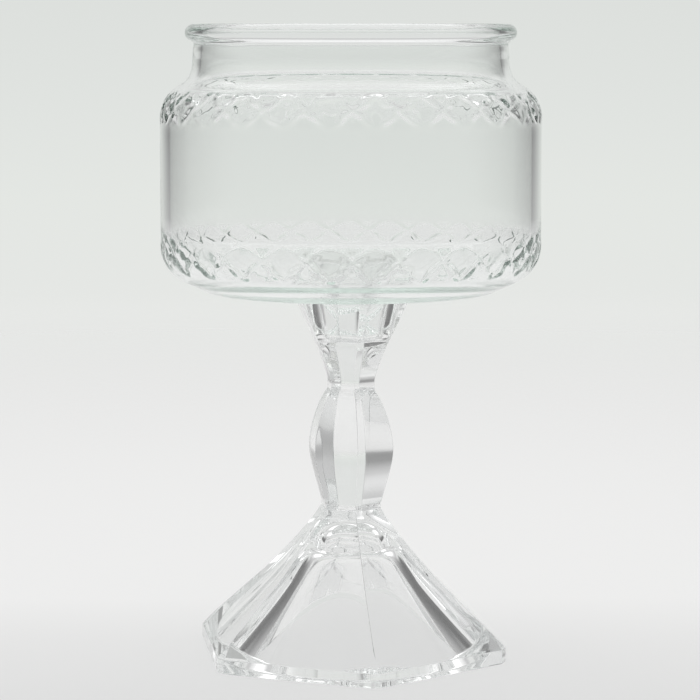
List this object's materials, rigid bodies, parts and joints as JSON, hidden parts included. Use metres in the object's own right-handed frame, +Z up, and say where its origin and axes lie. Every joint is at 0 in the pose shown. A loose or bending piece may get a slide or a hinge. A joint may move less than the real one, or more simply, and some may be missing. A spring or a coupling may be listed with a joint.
{
  "type": "mason jar wine glass",
  "caption": "Wide clear jar with quilted bands at shoulder and heel, cemented onto a pressed glass candlestick with a flaring hexagonal foot.",
  "frame": {"origin": "centre of the foot's resting face, on the axis of the stem and the jar", "axes": "+Z up along the stem and jar axis; +X towards one corner of the hexagonal foot; +Y square to one of its flat sides"},
  "size_m": [0.1071, 0.1071, 0.1775],
  "materials": {
    "candlestick_glass": "clear fire-polished pressed glass",
    "clear_cement": "clear cured adhesive, slightly cloudy",
    "jar_glass": "clear soda-lime glass with a faint green cast"
  },
  "bodies": {
    "root": {"candlestick": "candlestick_glass", "cement": "clear_cement", "jar": "jar_glass"}
  },
  "joints": []
}
